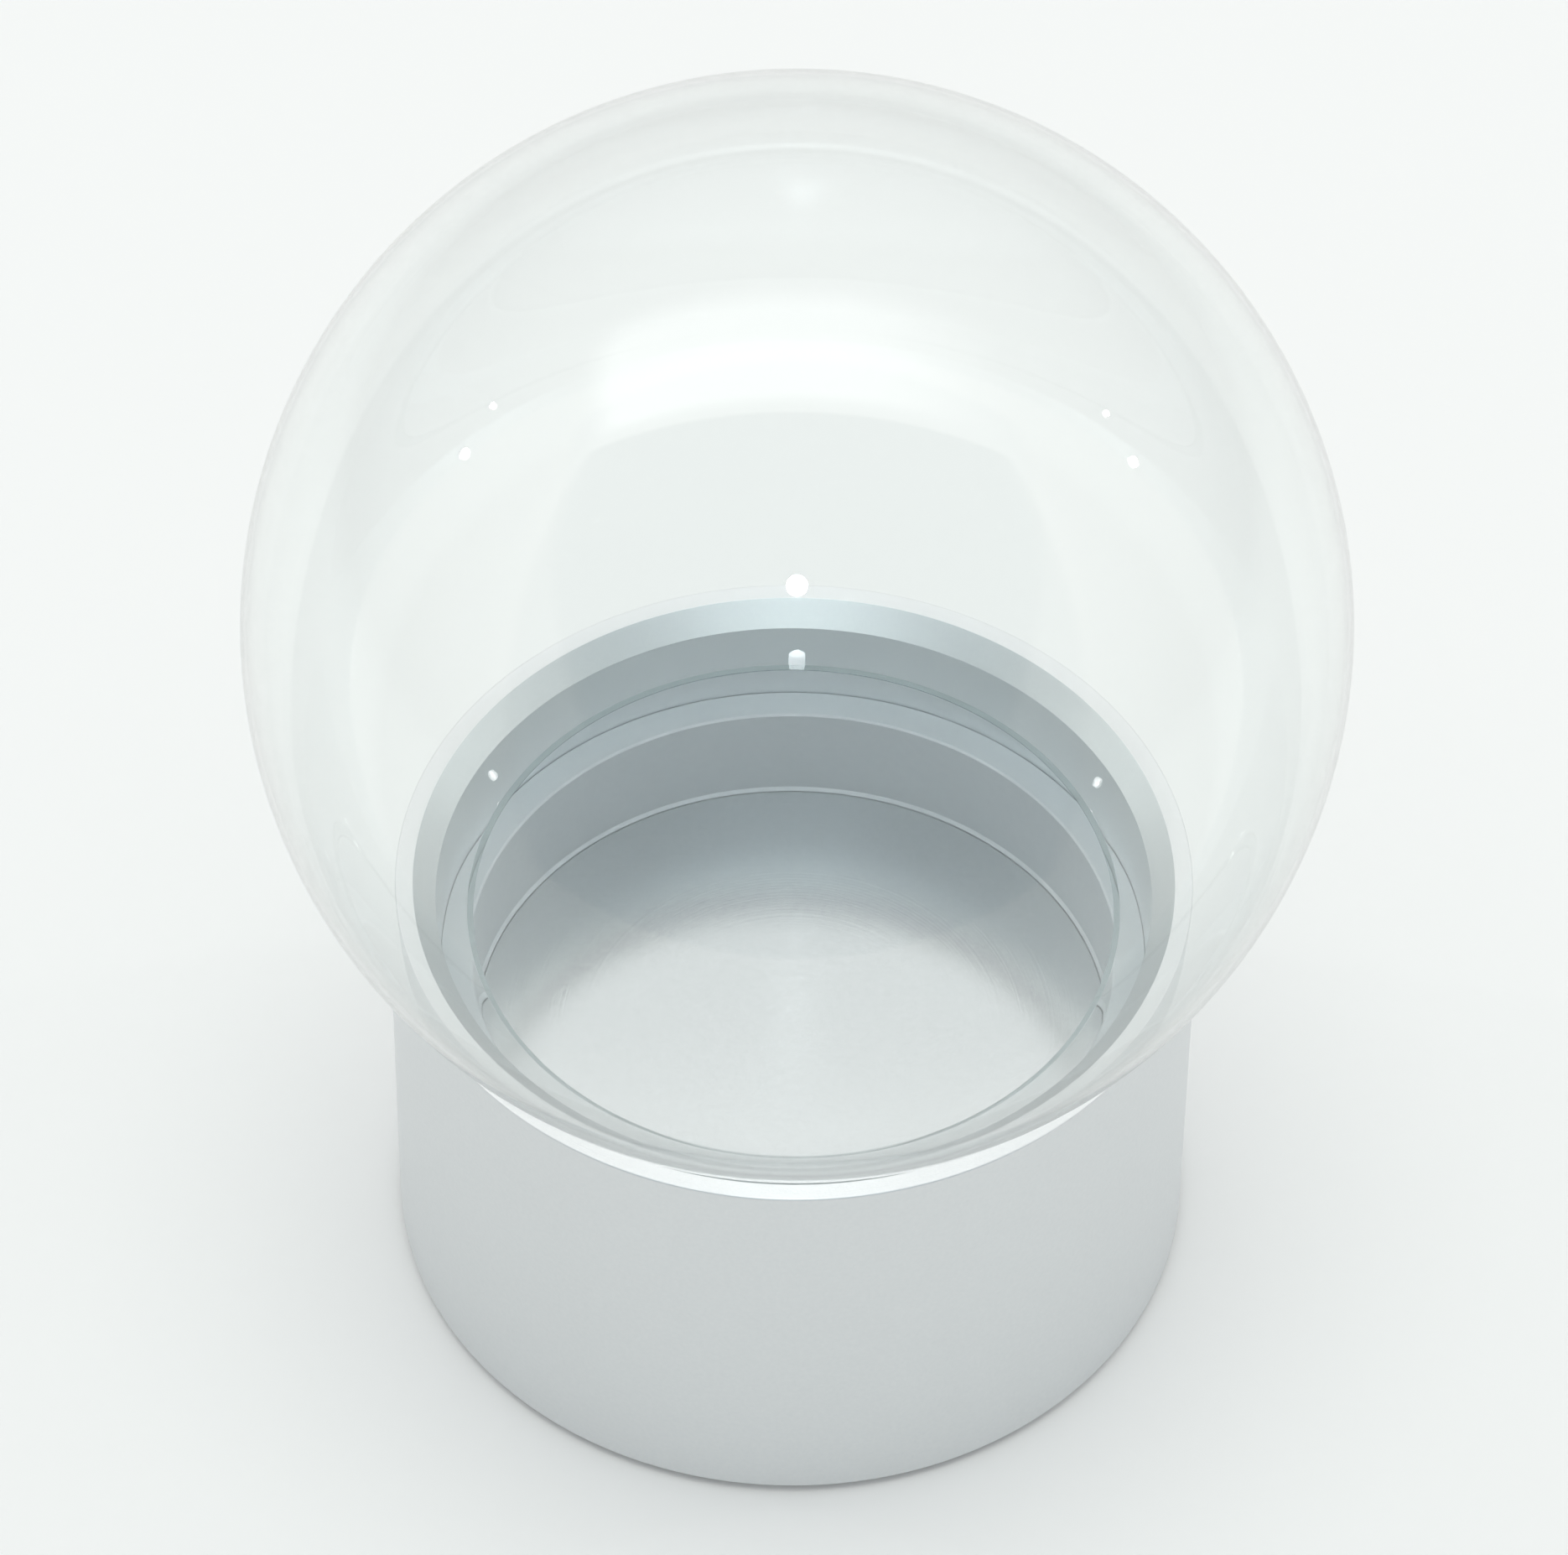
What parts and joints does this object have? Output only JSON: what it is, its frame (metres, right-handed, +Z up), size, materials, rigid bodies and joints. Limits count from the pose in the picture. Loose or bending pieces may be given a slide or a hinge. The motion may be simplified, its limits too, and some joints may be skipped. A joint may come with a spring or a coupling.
{
  "type": "bell jar dome",
  "caption": "Clear hollow glass globe with an open ground mouth, seated on a round satin aluminium base with a shallow turned well, as a lift-off dust cover for a small exhibit.",
  "frame": {"origin": "centre of the underside of the foot pad, on the surface that the object stands on", "axes": "+Z up along the axis of revolution; X and Y lie in the surface that it stands on"},
  "size_m": [0.0794, 0.0794, 0.1028],
  "materials": {
    "clear_glass": "thin blown clear glass, ground and polished at the mouth",
    "satin_aluminium": "fine satin side, bare machined rim",
    "turned_aluminium": "turned",
    "faced_aluminium": "lathe-faced, concentric marks",
    "ballast_steel": "sawn and turned steel",
    "plate_aluminium": "plain turned",
    "screw_steel": "zinc plated",
    "pad_rubber": "matte cut rubber sheet"
  },
  "bodies": {
    "base": {"base_sleeve": "satin_aluminium", "display_cup": "turned_aluminium", "floor_disc": "faced_aluminium", "ballast_weight": "ballast_steel", "base_plate": "plate_aluminium", "clamp_screws": "screw_steel", "foot_pad": "pad_rubber"},
    "globe": {"glass_globe": "clear_glass"}
  },
  "joints": [
    {"name": "globe_lift", "type": "slide", "parent": "base", "child": "globe", "axis": [0, 0, 1], "range_m": [0, 0.06]}
  ]
}
